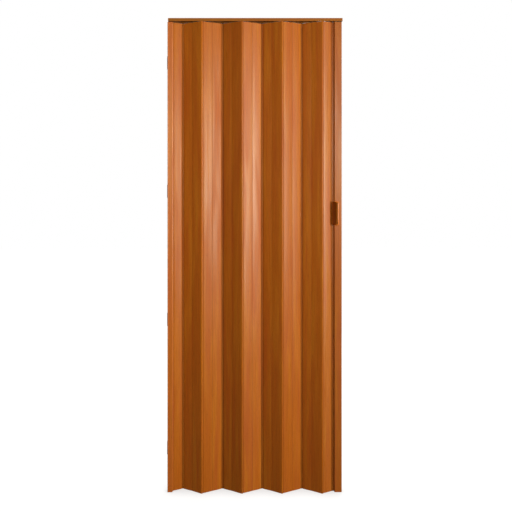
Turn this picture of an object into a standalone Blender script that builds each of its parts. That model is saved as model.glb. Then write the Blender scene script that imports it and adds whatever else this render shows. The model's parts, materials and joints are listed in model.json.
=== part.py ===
"""Folding door: a hollow plastic concertina door that hangs from a top track.

Metres, +Z up. The origin is the centre of the track's top face. +X runs along the track from
the wall side to the handle side, and the front of the door faces -Y.
"""

import math

import bmesh
import bpy
from mathutils import Matrix, Vector

# Driving dimensions: the whole door
DOOR_HEIGHT = 2.030
SLAT_PITCH = 0.096
FULL_SLATS = 7
FOLD_AT_REST = math.radians(26.6)
FOLD_LIMIT = math.radians(74.0)
WALL_HINGE_INSET = 0.0162
CLOSED_END_GAP = 0.0015
SEAT_GAP = 0.0003

# Driving dimensions: top track
TRACK_DEPTH = 0.044
TRACK_HEIGHT = 0.013
TRACK_WALL = 0.0015
TRACK_SLOT = 0.008
TRACK_CORNER = 0.0008
TRACK_HOLES = 4
TRACK_HOLE_RADIUS = 0.00225
TRACK_HOLE_END_MARGIN = 0.040
DOOR_TOP_GAP = 0.0014

# Driving dimensions: hinge bead and socket along the slat edges
BEAD_RADIUS = 0.0034
BEAD_WALL = 0.0011
HINGE_CLEARANCE = 0.00035
SOCKET_WALL = 0.00105
NECK_THICKNESS = 0.0015
NECK_SIDE_PLAY = math.radians(2.5)

# Driving dimensions: slat section
LOBE_EDGE_GAP = 0.0006
SLAT_EDGE_THICKNESS = 0.0026
SHOULDER_WIDTH = 0.002
GROOVE_THICKNESS = 0.0040
CROWN_THICKNESS = 0.0050
KNUCKLE_CROWN = 0.0003
SLAT_WALL = 0.0011
CHAMBER_END_WALL = 0.0024
RIB_THICKNESS = 0.0011

# Driving dimensions: wall profile and its clips
WALL_PROFILE_DEPTH = 0.027
WALL_PROFILE_WALL = 0.0015
WALL_CHANNEL_WIDTH = 0.0151
WALL_WEB_BITE = 0.0005
WALL_FRONT_COVER = 0.0015
WALL_BACK_CLEARANCE = 0.002
WALL_LIP = 0.0025
WALL_RIM_WIDTH = 0.0036
WALL_RIM_HEIGHT = 0.0012
CLIP_HEIGHT = 0.055
CLIP_PLATE = 0.0012
CLIP_ARM = 0.002
CLIP_ARM_REACH = 0.006
CLIP_BARB = 0.0018
CLIP_COUNT = 4
CLIP_LOWEST_CENTRE = 0.190
CLIP_SPACING = 0.550
CLIP_HOLE_RADIUS = 0.0022
COUNTERSINK_SHARE = 0.6

# Driving dimensions: lead profile and its closing strip
LEAD_WIDTH = 0.0317
LEAD_DEPTH = 0.026
LEAD_OFFSET = 0.0094
LEAD_WALL = 0.0016
LEAD_CORNER = 0.0025
LEAD_NECK_ROOT = 0.006
LEAD_RIB_FROM_EDGE = 0.0121
STRIP_WIDTH = 0.012
STRIP_THICKNESS = 0.003
STRIP_PROUD = 0.0005

# Driving dimensions: gliders and hinge plugs
HEAD_RADIUS = 0.0085
HEAD_THICKNESS = 0.005
HEAD_EDGE = 0.002
GLIDER_NECK_RADIUS = 0.0025
FLANGE_MARGIN = 0.0015
FLANGE_CORNER = 0.002
FLANGE_THICKNESS = 0.0008
LEG_LENGTH = 0.022
LEG_WIDTH = 0.005
LEG_TIP_TAPER = 0.0012
HANGER_PIN_SPACING = 0.0185
HANGER_LEG_THICKNESS = 0.0025
HANGER_LEG_WIDTH = 0.008
PLUG_SHANK_LENGTH = 0.014
PLUG_TIP_TAPER = 0.0008

# Driving dimensions: handle pair
HANDLE_WIDTH = 0.029
HANDLE_HEIGHT = 0.104
HANDLE_DEPTH = 0.012
HANDLE_OVERHANG = 0.0098
HANDLE_CENTRE_HEIGHT = 1.195
HANDLE_CORNER = 0.005
HANDLE_LIP_HEIGHT = 0.0045
HANDLE_LIP_WALL = 0.0015
HANDLE_RIM = 0.0062
HANDLE_FLANK = 0.0045
HANDLE_FLANK_FOOT = 0.003
HANDLE_END_WALL = 0.006
HANDLE_END_SLOPE = 0.012
HANDLE_FLOOR = 0.0018
HANDLE_UNDERCUT = 0.0015
POCKET_ROUND = 0.002
BOSS_RADIUS = 0.0034
BOSS_LENGTH = 0.007
BOSS_INSET = 0.0058
BOSS_HALF_SPACING = 0.032
SCREW_RADIUS = 0.0015
SCREW_HEAD_RADIUS = 0.003
SCREW_HEAD_HEIGHT = 0.0018
SCREW_HEAD_CROWN = 0.0021
SCREW_TIP_GAP = 0.001
SCREW_SLOT = 0.0008

# Smoothness of round shapes
LOBE_STEPS = 8
CHAMBER_STEPS = 5
BEAD_STEPS = 14
KNUCKLE_STEPS = 4
SOCKET_FACET = math.radians(15)
WALL_LIP_STEPS = 5
BORE_STEPS = 12
CORNER_STEPS = 3
RIM_STEPS = 5
DOME_STEPS = 3
HANDLE_STEPS = 5
TURNED_STEPS = 16
SMALL_TURNED_STEPS = 12
CREASE_ANGLE = math.radians(35)

# The fill and spin tools work in millimetres, because their tolerances suit larger numbers
MILLIMETRES = 1000.0
SPIN_MERGE_MILLIMETRES = 0.001
BOOLEAN_MERGE = 0.000005

# Sizes that follow from the driving dimensions
PITCHES = FULL_SLATS + 1
HALF_PITCH = SLAT_PITCH / 2
SOCKET_INNER = BEAD_RADIUS + HINGE_CLEARANCE
SOCKET_OUTER = SOCKET_INNER + SOCKET_WALL
BEAD_BORE = BEAD_RADIUS - BEAD_WALL
LOBE_INSET = SOCKET_OUTER + LOBE_EDGE_GAP
WALL_WEB_OFFSET = SOCKET_OUTER - WALL_WEB_BITE
NECK_ANGLE = math.asin(NECK_THICKNESS / 2 / SOCKET_INNER)
SOCKET_MOUTH_START = -(NECK_ANGLE + NECK_SIDE_PLAY)
SLAT_MOUTH_END = 2 * FOLD_LIMIT + NECK_ANGLE + NECK_SIDE_PLAY
WALL_MOUTH_END = FOLD_LIMIT + NECK_ANGLE + NECK_SIDE_PLAY
LEAD_FAR_SIDE = LEAD_OFFSET + LEAD_WIDTH
DOOR_SPAN = PITCHES * SLAT_PITCH * math.cos(FOLD_AT_REST)
TRACK_LENGTH = WALL_HINGE_INSET + DOOR_SPAN + LEAD_FAR_SIDE + STRIP_PROUD + CLOSED_END_GAP
WALL_HINGE_X = WALL_HINGE_INSET - TRACK_LENGTH / 2
DOOR_TOP = -(TRACK_HEIGHT + DOOR_TOP_GAP)
DOOR_BOTTOM = -DOOR_HEIGHT
DOOR_LENGTH = DOOR_TOP - DOOR_BOTTOM
FLANGE_BOTTOM = SEAT_GAP
FLANGE_TOP = FLANGE_BOTTOM + FLANGE_THICKNESS
LIP_TOP = DOOR_TOP_GAP + TRACK_WALL
HEAD_BOTTOM = LIP_TOP + SEAT_GAP
HANDLE_LEFT = LEAD_OFFSET - HANDLE_OVERHANG
SCREW_X = LEAD_OFFSET + BOSS_INSET

# Looks: colour as linear red, green and blue, then roughness and metallic
FOIL_LOOK = ((0.376, 0.089, 0.010), 0.35, 0.0)
TRACK_LOOK = ((0.376, 0.089, 0.010), 0.40, 0.0)
DARK_PLASTIC_LOOK = ((0.240, 0.055, 0.007), 0.50, 0.0)
NYLON_LOOK = ((0.700, 0.660, 0.560), 0.40, 0.0)
STEEL_LOOK = ((0.560, 0.560, 0.580), 0.30, 1.0)
RUBBER_LOOK = ((0.025, 0.020, 0.018), 0.60, 0.0)


def clear_scene():
    for existing in list(bpy.data.objects):
        bpy.data.objects.remove(existing, do_unlink=True)


def make_material(name, colour, roughness, metallic):
    material = bpy.data.materials.new(name)
    material.use_nodes = True
    shader = material.node_tree.nodes["Principled BSDF"]
    shader.inputs["Base Color"].default_value = (*colour, 1.0)
    shader.inputs["Roughness"].default_value = roughness
    shader.inputs["Metallic"].default_value = metallic
    material.diffuse_color = (*colour, 1.0)
    return material


def place(name, mesh, parent, location, turn, look):
    """Put a mesh into the scene as a named piece with its own material."""
    piece = bpy.data.objects.new(name, mesh)
    bpy.context.scene.collection.objects.link(piece)
    piece.parent = parent
    piece.location = location
    piece.rotation_euler = (turn[0], turn[1], turn[2])
    colour, roughness, metallic = look
    if not mesh.materials:
        mesh.materials.append(None)
    piece.material_slots[0].link = "OBJECT"
    piece.material_slots[0].material = make_material(name, colour, roughness, metallic)
    return piece


def finish_mesh(name, bm):
    bmesh.ops.recalc_face_normals(bm, faces=bm.faces)
    mesh = bpy.data.meshes.new(name)
    bm.to_mesh(mesh)
    bm.free()
    mesh.shade_smooth()
    mesh.set_sharp_from_angle(angle=CREASE_ANGLE)
    return mesh


def arc(centre, radius, start, end, steps):
    """Points on an arc from one angle to another, both ends included."""
    points = []
    for step in range(steps + 1):
        angle = start + (end - start) * step / max(steps, 1)
        points.append((centre[0] + radius * math.cos(angle), centre[1] + radius * math.sin(angle)))
    return points


def circle(centre, radius, steps):
    return arc(centre, radius, 0.0, 2 * math.pi, steps)[:-1]


def rounded_rectangle(half_width, half_height, radius, steps):
    points = []
    corners = ((1, 1), (-1, 1), (-1, -1), (1, -1))
    for index, (side_x, side_y) in enumerate(corners):
        centre = (side_x * (half_width - radius), side_y * (half_height - radius))
        start = index * math.pi / 2
        points += arc(centre, radius, start, start + math.pi / 2, steps)
    return points


def extruded(name, outline, holes, origin, across, up, along):
    """Fill an outline with its holes and extrude it along a vector.

    across and up are the directions of the outline's two coordinates.
    """
    bm = bmesh.new()
    edges = []
    for loop in [outline] + holes:
        verts = []
        for first, second in loop:
            spot = origin + across * first + up * second
            verts.append(bm.verts.new(spot * MILLIMETRES))
        for index, vert in enumerate(verts):
            edges.append(bm.edges.new((vert, verts[(index + 1) % len(verts)])))
    bmesh.ops.triangle_fill(bm, use_beauty=True, use_dissolve=False, edges=edges)
    extrusion = bmesh.ops.extrude_face_region(bm, geom=list(bm.faces))
    moved = [item for item in extrusion["geom"] if isinstance(item, bmesh.types.BMVert)]
    bmesh.ops.translate(bm, verts=moved, vec=along * MILLIMETRES)
    bmesh.ops.scale(bm, verts=bm.verts, vec=Vector((1, 1, 1)) / MILLIMETRES)
    return finish_mesh(name, bm)


def upright(name, outline, holes, bottom, length):
    """Extrude a plan section straight up."""
    return extruded(
        name, outline, holes, Vector((0, 0, bottom)), Vector((1, 0, 0)), Vector((0, 1, 0)),
        Vector((0, 0, length)),
    )


def turned(name, profile, steps):
    """Spin a profile of radius and height pairs, from axis to axis, about the Z axis."""
    bm = bmesh.new()
    verts = [bm.verts.new(Vector((radius, 0, height)) * MILLIMETRES) for radius, height in profile]
    edges = [bm.edges.new(pair) for pair in zip(verts, verts[1:])]
    bmesh.ops.spin(
        bm, geom=verts + edges, cent=(0, 0, 0), axis=(0, 0, 1), dvec=(0, 0, 0),
        angle=2 * math.pi, steps=steps, use_merge=False, use_duplicate=False,
    )
    bmesh.ops.remove_doubles(bm, verts=bm.verts, dist=SPIN_MERGE_MILLIMETRES)
    bmesh.ops.scale(bm, verts=bm.verts, vec=Vector((1, 1, 1)) / MILLIMETRES)
    return finish_mesh(name, bm)


def moved(mesh, offset, rotation=None):
    matrix = Matrix.Translation(offset)
    if rotation is not None:
        matrix = matrix @ rotation
    mesh.transform(matrix)
    return mesh


def combined(name, base, steps):
    """Apply Boolean steps, pairs of an operation and a mesh, to a base mesh."""
    holder = bpy.data.objects.new(name + "_base", base)
    bpy.context.scene.collection.objects.link(holder)
    helpers = []
    for operation, mesh in steps:
        helper = bpy.data.objects.new(name + "_tool", mesh)
        bpy.context.scene.collection.objects.link(helper)
        helper.hide_render = True
        helper.display_type = "WIRE"
        helpers.append(helper)
        modifier = holder.modifiers.new(operation.lower(), "BOOLEAN")
        modifier.operation = operation
        modifier.solver = "EXACT"
        modifier.object = helper
    bpy.context.view_layer.update()
    evaluated = holder.evaluated_get(bpy.context.evaluated_depsgraph_get())
    bm = bmesh.new()
    bm.from_mesh(evaluated.to_mesh())
    evaluated.to_mesh_clear()
    for item in [holder] + helpers:
        bpy.data.objects.remove(item, do_unlink=True)
    bmesh.ops.remove_doubles(bm, verts=bm.verts, dist=BOOLEAN_MERGE)
    bmesh.ops.dissolve_degenerate(bm, dist=BOOLEAN_MERGE, edges=bm.edges)
    return finish_mesh(name, bm)


# Slat section: a bead along one edge, a socket along the other, and hollow lobes between


def bead_outline():
    """The bead's round about the hinge axis, from one side of its neck to the other."""
    neck_half_angle = math.asin(NECK_THICKNESS / 2 / BEAD_RADIUS)
    return arc((0, 0), BEAD_RADIUS, neck_half_angle, 2 * math.pi - neck_half_angle, BEAD_STEPS)


def socket_outline(centre_x, front_root, back_root, mouth_end, lip_steps):
    """The socket's hook seen along the hinge, from the body's front side to its back side.

    The roots are the angles at which the body's two sides run into the hook's outer round. Its
    mouth opens toward +Y, from just below the slat's own direction round to mouth_end.
    """
    centre = (centre_x, 0)
    mouth_start = 2 * math.pi + SOCKET_MOUTH_START
    outer_steps = math.ceil((mouth_start - front_root) / SOCKET_FACET)
    inner_steps = math.ceil((mouth_start - mouth_end) / SOCKET_FACET)
    hook = arc(centre, SOCKET_OUTER, front_root, mouth_start, outer_steps)
    hook += arc(centre, SOCKET_INNER, mouth_start, mouth_end, inner_steps)
    if mouth_end < back_root:
        hook += arc(centre, SOCKET_OUTER, mouth_end, back_root, lip_steps)
    else:
        hook += arc(centre, SOCKET_OUTER, back_root, back_root, 0)
    return hook


def slat_half_thickness(position, width, lobes):
    """From the middle plane to a face: a low crown on each lobe, and a shoulder at each hinge."""
    body = width - 2 * LOBE_INSET
    from_start = position - LOBE_INSET
    share = from_start * lobes / body % 1
    crown = (CROWN_THICKNESS - GROOVE_THICKNESS) * 4 * share * (1 - share)
    from_hinge = min(from_start, body - from_start)
    taper = max(1 - from_hinge / SHOULDER_WIDTH, 0) * (GROOVE_THICKNESS - SLAT_EDGE_THICKNESS)
    return (GROOVE_THICKNESS + crown - taper) / 2


def knuckle_face(width, lobes):
    """Where the last lobe's closed side starts, its half thickness there, its slope and its end.

    This side runs nearly straight, and touches the socket's outer round, which is the knuckle.
    """
    lobe_width = (width - 2 * LOBE_INSET) / lobes
    root = LOBE_INSET + max((lobes - 1) * lobe_width, SHOULDER_WIDTH)
    root_half = slat_half_thickness(root, width, lobes)
    run = width - root
    slope = math.asin(SOCKET_OUTER / math.hypot(run, root_half)) - math.atan2(root_half, run)
    return root, root_half, slope, width - SOCKET_OUTER * math.sin(slope)


def closed_half_thickness(position, width, lobes):
    """From the middle plane to the face on the socket's closed side."""
    root, root_half, slope, touch = knuckle_face(width, lobes)
    if position < root:
        return slat_half_thickness(position, width, lobes)
    share = (position - root) / (touch - root)
    crown = KNUCKLE_CROWN * 4 * share * (1 - share)
    return root_half + (position - root) * math.tan(slope) + crown


def slat_stations(width, lobes):
    """Places along the slat at which its faces have a corner or a point of a curve."""
    lobe_width = (width - 2 * LOBE_INSET) / lobes
    stations = [LOBE_INSET]
    for lobe in range(lobes):
        first = LOBE_INSET + max(lobe * lobe_width, SHOULDER_WIDTH)
        last = width - LOBE_INSET - max((lobes - 1 - lobe) * lobe_width, SHOULDER_WIDTH)
        for step in range(min(lobe, 1), LOBE_STEPS + 1):
            stations.append(first + (last - first) * step / LOBE_STEPS)
    return stations + [width - LOBE_INSET]


def slat_section(width, lobes, mouth_side):
    """Outline and holes of a slat between two hinge axes that lie width apart.

    mouth_side is 1 where the socket opens to the back (+Y) and -1 where it opens to the front.
    """
    lobe_width = (width - 2 * LOBE_INSET) / lobes
    edge_half = SLAT_EDGE_THICKNESS / 2
    neck = (LOBE_INSET - LOBE_EDGE_GAP / 2, NECK_THICKNESS / 2)
    stations = slat_stations(width, lobes)
    root, _, slope, touch = knuckle_face(width, lobes)
    closed_stations = stations[:1 + (lobes - 1) * LOBE_STEPS]
    for step in range(KNUCKLE_STEPS):
        closed_stations.append(root + (touch - root) * step / KNUCKLE_STEPS)
    closed_side = [neck]
    closed_side += [(at, closed_half_thickness(at, width, lobes)) for at in closed_stations]
    open_side = [neck] + [(at, slat_half_thickness(at, width, lobes)) for at in stations]
    holes = [circle((0, 0), BEAD_BORE, BORE_STEPS)]
    for lobe in range(lobes):
        start = LOBE_INSET + lobe * lobe_width
        end = start + lobe_width
        middle = (start + end) / 2
        for low, high in (
            (start + CHAMBER_END_WALL, middle - RIB_THICKNESS / 2),
            (middle + RIB_THICKNESS / 2, end - CHAMBER_END_WALL),
        ):
            places = [low + (high - low) * step / CHAMBER_STEPS for step in range(CHAMBER_STEPS + 1)]
            chamber = [(at, SLAT_WALL - closed_half_thickness(at, width, lobes)) for at in places]
            chamber += [(at, slat_half_thickness(at, width, lobes) - SLAT_WALL) for at in places[::-1]]
            holes.append(chamber)
    back_root = math.pi - math.asin(edge_half / SOCKET_OUTER)
    outline = [(at, -half) for at, half in closed_side]
    outline += socket_outline(width, 3 * math.pi / 2 - slope, back_root, SLAT_MOUTH_END, 1)
    outline += open_side[::-1] + bead_outline()
    outline = [(at, height * mouth_side) for at, height in outline]
    holes = [[(at, height * mouth_side) for at, height in hole] for hole in holes]
    return outline, holes


def make_slats(frame):
    """The chain of slats from the wall hinge to the lead hinge, each turned on the one before."""
    full_back = upright("slat_back", *slat_section(SLAT_PITCH, 2, 1), 0.0, DOOR_LENGTH)
    full_front = upright("slat_front", *slat_section(SLAT_PITCH, 2, -1), 0.0, DOOR_LENGTH)
    half = upright("half_slat", *slat_section(HALF_PITCH, 1, -1), 0.0, DOOR_LENGTH)
    location = (WALL_HINGE_X, 0, DOOR_BOTTOM)
    chain = [place("half_slat_wall", half, frame, location, (0, 0, FOLD_AT_REST), FOIL_LOOK)]
    reach = HALF_PITCH
    for number in range(2, FULL_SLATS + 2):
        folds_forward = number % 2 == 0
        mesh = full_back if folds_forward else full_front
        turn = -2 * FOLD_AT_REST if folds_forward else 2 * FOLD_AT_REST
        name = "slat_" + str(number)
        chain.append(place(name, mesh, chain[-1], (reach, 0, 0), (0, 0, turn), FOIL_LOOK))
        reach = SLAT_PITCH
    last_turn = (0, 0, 2 * FOLD_AT_REST)
    chain.append(place("half_slat_lead", half, chain[-1], (reach, 0, 0), last_turn, FOIL_LOOK))
    return chain


def track_hole_places():
    first = TRACK_HOLE_END_MARGIN - TRACK_LENGTH / 2
    step = (TRACK_LENGTH - 2 * TRACK_HOLE_END_MARGIN) / (TRACK_HOLES - 1)
    return [first + step * index for index in range(TRACK_HOLES)]


def countersunk_cutter(name, radius, thickness, steps):
    """A screw hole through a wall that starts at height 0, its cone opening downward."""
    profile = [
        (0, -thickness / 2),
        (radius + thickness, -thickness / 2),
        (radius, thickness * COUNTERSINK_SHARE),
        (radius, 2 * thickness),
        (0, 2 * thickness),
    ]
    return turned(name, profile, steps)


def make_track(frame):
    """The C-shaped top rail with a slot along its underside."""
    depth = TRACK_DEPTH / 2
    inner = depth - TRACK_WALL
    slot = TRACK_SLOT / 2
    corner = TRACK_CORNER
    half = [
        (slot, -TRACK_HEIGHT),
        *arc((depth - corner, corner - TRACK_HEIGHT), corner, -math.pi / 2, 0, CORNER_STEPS),
        (depth, 0),
    ]
    inside = [
        (inner, -TRACK_WALL),
        (inner, TRACK_WALL - TRACK_HEIGHT),
        (slot, TRACK_WALL - TRACK_HEIGHT),
    ]
    mirrored_half = [(-across, height) for across, height in half[::-1]]
    mirrored_inside = [(-across, height) for across, height in inside[::-1]]
    outline = half + mirrored_half + mirrored_inside + inside
    rail = extruded(
        "top_track", outline, [], Vector((-TRACK_LENGTH / 2, 0, 0)), Vector((0, 1, 0)),
        Vector((0, 0, 1)), Vector((TRACK_LENGTH, 0, 0)),
    )
    cutters = []
    for position in track_hole_places():
        cutter = countersunk_cutter("hole", TRACK_HOLE_RADIUS, TRACK_WALL, SMALL_TURNED_STEPS)
        cutters.append(("DIFFERENCE", moved(cutter, Vector((position, 0, -TRACK_WALL)))))
    mesh = combined("top_track", rail, cutters)
    return place("top_track", mesh, frame, (0, 0, 0), (0, 0, 0), TRACK_LOOK)


def make_wall_profile(frame):
    """The channel that snaps over the wall clips and holds the first hinge socket."""
    depth = WALL_PROFILE_DEPTH / 2
    inner = depth - WALL_PROFILE_WALL
    web_right = -WALL_WEB_OFFSET
    web_left = web_right - WALL_PROFILE_WALL
    left = web_right - WALL_CHANNEL_WIDTH
    lip_inner = left + WALL_PROFILE_WALL
    mouth = inner - WALL_LIP
    web_angle = math.acos(WALL_WEB_OFFSET / SOCKET_OUTER)
    back_edge = -WALL_BACK_CLEARANCE
    rim = []
    for step in range(RIM_STEPS + 1):
        angle = math.pi * step / RIM_STEPS
        across = left + WALL_RIM_WIDTH * (1 - math.cos(angle)) / 2
        rim.append((across, depth + WALL_RIM_HEIGHT * math.sin(angle)))
    outline = [(across, -height) for across, height in rim]
    outline += [
        (WALL_FRONT_COVER, -depth),
        (WALL_FRONT_COVER, -inner),
        (web_right, -inner),
    ]
    outline += socket_outline(
        0, math.pi + web_angle, math.pi - web_angle, WALL_MOUTH_END, WALL_LIP_STEPS
    )
    outline += [
        (web_right, inner),
        (back_edge, inner),
        (back_edge, depth),
        *rim[::-1],
        (left, mouth),
        (lip_inner, mouth),
        (lip_inner, inner),
        (web_left, inner),
        (web_left, -inner),
        (lip_inner, -inner),
        (lip_inner, -mouth),
        (left, -mouth),
    ]
    mesh = upright("wall_profile", outline, [], 0.0, DOOR_LENGTH)
    location = (WALL_HINGE_X, 0, DOOR_BOTTOM)
    return place("wall_profile", mesh, frame, location, (0, 0, 0), FOIL_LOOK)


def clip_heights():
    return [CLIP_LOWEST_CENTRE + CLIP_SPACING * index for index in range(CLIP_COUNT)]


def make_wall_clips(profile):
    """Barbed clips that screw to the wall and take the wall profile's lips."""
    lip_left = -WALL_WEB_OFFSET - WALL_CHANNEL_WIDTH
    mouth = WALL_PROFILE_DEPTH / 2 - WALL_PROFILE_WALL - WALL_LIP
    plate_right = lip_left - SEAT_GAP
    plate_left = plate_right - CLIP_PLATE
    plate_half = WALL_PROFILE_DEPTH / 2 - WALL_PROFILE_WALL
    arm_outer = mouth - SEAT_GAP
    arm_inner = arm_outer - CLIP_ARM
    barb_left = lip_left + WALL_PROFILE_WALL + SEAT_GAP
    arm_tip = plate_right + CLIP_ARM_REACH
    front = [
        (plate_left, -plate_half),
        (plate_right, -plate_half),
        (plate_right, -arm_outer),
        (barb_left, -arm_outer),
        (barb_left, -arm_outer - CLIP_BARB),
        (arm_tip, -arm_inner - CLIP_ARM / 2),
        (arm_tip, -arm_inner),
        (plate_right, -arm_inner),
    ]
    outline = front + [(across, -height) for across, height in front[::-1]]
    body = upright("wall_clip", outline, [], -CLIP_HEIGHT / 2, CLIP_HEIGHT)
    to_wall = Matrix.Rotation(-math.pi / 2, 4, "Y")
    cutters = []
    for side in (-1, 1):
        cutter = countersunk_cutter("hole", CLIP_HOLE_RADIUS, CLIP_PLATE, SMALL_TURNED_STEPS)
        spot = Vector((plate_right, 0, side * CLIP_HEIGHT / 4))
        cutters.append(("DIFFERENCE", moved(cutter, spot, to_wall)))
    mesh = combined("wall_clip", body, cutters)
    for number, height in enumerate(clip_heights(), start=1):
        name = "wall_clip_" + str(number)
        place(name, mesh, profile, (0, 0, height), (0, 0, 0), DARK_PLASTIC_LOOK)


def lead_section():
    """Outline and holes of the lead profile, around its own hinge axis."""
    near = LEAD_OFFSET
    far = LEAD_FAR_SIDE
    half = LEAD_DEPTH / 2
    corner = LEAD_CORNER
    groove_half = STRIP_WIDTH / 2 + SEAT_GAP
    groove_floor = far + STRIP_PROUD - STRIP_THICKNESS - SEAT_GAP
    flare_start = SOCKET_OUTER + LOBE_EDGE_GAP
    front = [
        (flare_start, -NECK_THICKNESS / 2),
        (near, -LEAD_NECK_ROOT / 2),
        *arc((near + corner, corner - half), corner, math.pi, 3 * math.pi / 2, CORNER_STEPS),
        *arc((far - corner, corner - half), corner, -math.pi / 2, 0, CORNER_STEPS),
        (far, -groove_half),
        (groove_floor, -groove_half),
    ]
    outline = front + [(across, -height) for across, height in front[::-1]] + bead_outline()
    inner = half - LEAD_WALL
    rib_right = far - LEAD_RIB_FROM_EDGE
    rib_left = rib_right - LEAD_WALL
    hinge_chamber = [
        (near + LEAD_WALL, -inner),
        (rib_left, -inner),
        (rib_left, inner),
        (near + LEAD_WALL, inner),
    ]
    step_in = groove_floor - LEAD_WALL
    step_half = groove_half + LEAD_WALL
    edge_chamber = [
        (rib_right, -inner),
        (far - LEAD_WALL, -inner),
        (far - LEAD_WALL, -step_half),
        (step_in, -step_half),
        (step_in, step_half),
        (far - LEAD_WALL, step_half),
        (far - LEAD_WALL, inner),
        (rib_right, inner),
    ]
    return outline, [circle((0, 0), BEAD_BORE, BORE_STEPS), hinge_chamber, edge_chamber]


def screw_heights():
    """Heights of the two handle screws above the door's lower end."""
    return [HANDLE_CENTRE_HEIGHT + side * BOSS_HALF_SPACING for side in (-1, 1)]


def cross_rod(name, radius, start, end, x, z, steps):
    """A round bar along Y, from one Y to another."""
    bar = turned(name, [(0, 0), (radius, 0), (radius, end - start), (0, end - start)], steps)
    along_y = Matrix.Rotation(-math.pi / 2, 4, "X")
    return moved(bar, Vector((x, start, z)), along_y)


def make_lead_profile(hinge_slat):
    """The stiff hollow profile at the closing edge, which carries the handles."""
    body = upright("lead_profile", *lead_section(), 0.0, DOOR_LENGTH)
    holes = []
    for height in screw_heights():
        bar = cross_rod(
            "hole", BOSS_RADIUS + SEAT_GAP, -LEAD_DEPTH, LEAD_DEPTH, SCREW_X, height, SMALL_TURNED_STEPS
        )
        holes.append(("DIFFERENCE", bar))
    mesh = combined("lead_profile", body, holes)
    turn = (0, 0, -FOLD_AT_REST)
    return place("lead_profile", mesh, hinge_slat, (HALF_PITCH, 0, 0), turn, FOIL_LOOK)


def make_closing_strip(lead):
    right = LEAD_FAR_SIDE + STRIP_PROUD
    half = STRIP_WIDTH / 2
    left = right - STRIP_THICKNESS
    outline = [(left, -half), (right, -half), (right, half), (left, half)]
    mesh = upright("closing_strip", outline, [], 0.0, DOOR_LENGTH)
    return place("closing_strip", mesh, lead, (0, 0, 0), (0, 0, 0), RUBBER_LOOK)


def mushroom(name):
    """Neck and head of a glider. Height 0 is the top end of the slat."""
    profile = [
        (0, FLANGE_TOP - FLANGE_THICKNESS / 2),
        (GLIDER_NECK_RADIUS, FLANGE_TOP - FLANGE_THICKNESS / 2),
        (GLIDER_NECK_RADIUS, HEAD_BOTTOM),
        (HEAD_RADIUS - HEAD_EDGE / 2, HEAD_BOTTOM),
        (HEAD_RADIUS, HEAD_BOTTOM + HEAD_EDGE / 2),
        (HEAD_RADIUS, HEAD_BOTTOM + HEAD_EDGE),
    ]
    dome_rise = HEAD_THICKNESS - HEAD_EDGE
    for step in range(1, DOME_STEPS + 1):
        angle = math.pi / 2 * step / DOME_STEPS
        height = HEAD_BOTTOM + HEAD_EDGE + dome_rise * math.sin(angle)
        profile.append((HEAD_RADIUS * math.cos(angle), height))
    return turned(name, profile, TURNED_STEPS)


def leg(name, centre_x, centre_y, width, depth):
    """A tapered leg that reaches down from the flange into a chamber."""
    half = width / 2
    tip = half - LEG_TIP_TAPER
    top = FLANGE_TOP - FLANGE_THICKNESS / 2
    outline = [(-tip, -LEG_LENGTH), (tip, -LEG_LENGTH), (half, -LEG_LENGTH + 2 * LEG_TIP_TAPER)]
    outline += [(half, top), (-half, top), (-half, -LEG_LENGTH + 2 * LEG_TIP_TAPER)]
    start = Vector((centre_x, centre_y - depth / 2, 0))
    return extruded(name, outline, [], start, Vector((1, 0, 0)), Vector((0, 0, 1)), Vector((0, depth, 0)))


def flange(name, centre_x, length, width):
    outline = rounded_rectangle(length / 2, width / 2, FLANGE_CORNER, CORNER_STEPS)
    outline = [(across + centre_x, height) for across, height in outline]
    return upright(name, outline, [], FLANGE_BOTTOM, FLANGE_THICKNESS)


def slat_glider_legs():
    """Where a glider's two legs stand, and how thick they are, in the chambers by the groove."""
    middle = SLAT_PITCH / 2
    lobe_width = middle - LOBE_INSET
    from_middle = lobe_width / 2 - RIB_THICKNESS / 2 - SEAT_GAP - LEG_WIDTH / 2
    thin_side = middle + from_middle - LEG_WIDTH / 2
    room = slat_half_thickness(thin_side, SLAT_PITCH, 2) - SLAT_WALL - SEAT_GAP
    return from_middle, 2 * room


def make_gliders(chain):
    """Moulded gliders at mid width of every slat that folds forward, on the track's centre."""
    middle = SLAT_PITCH / 2
    from_middle, thickness = slat_glider_legs()
    length = 2 * (from_middle + LEG_WIDTH / 2 + FLANGE_MARGIN)
    base = flange("glider", middle, length, 2 * GLIDER_NECK_RADIUS + FLANGE_MARGIN)
    steps = [("UNION", moved(mushroom("head"), Vector((middle, 0, 0))))]
    for side in (-1, 1):
        steps.append(("UNION", leg("leg", middle + side * from_middle, 0, LEG_WIDTH, thickness)))
    mesh = combined("glider", base, steps)
    for number in range(2, FULL_SLATS + 2, 2):
        name = "glider_" + str(number)
        place(name, mesh, chain[number - 1], (0, 0, DOOR_LENGTH), (0, 0, 0), NYLON_LOOK)


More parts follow.
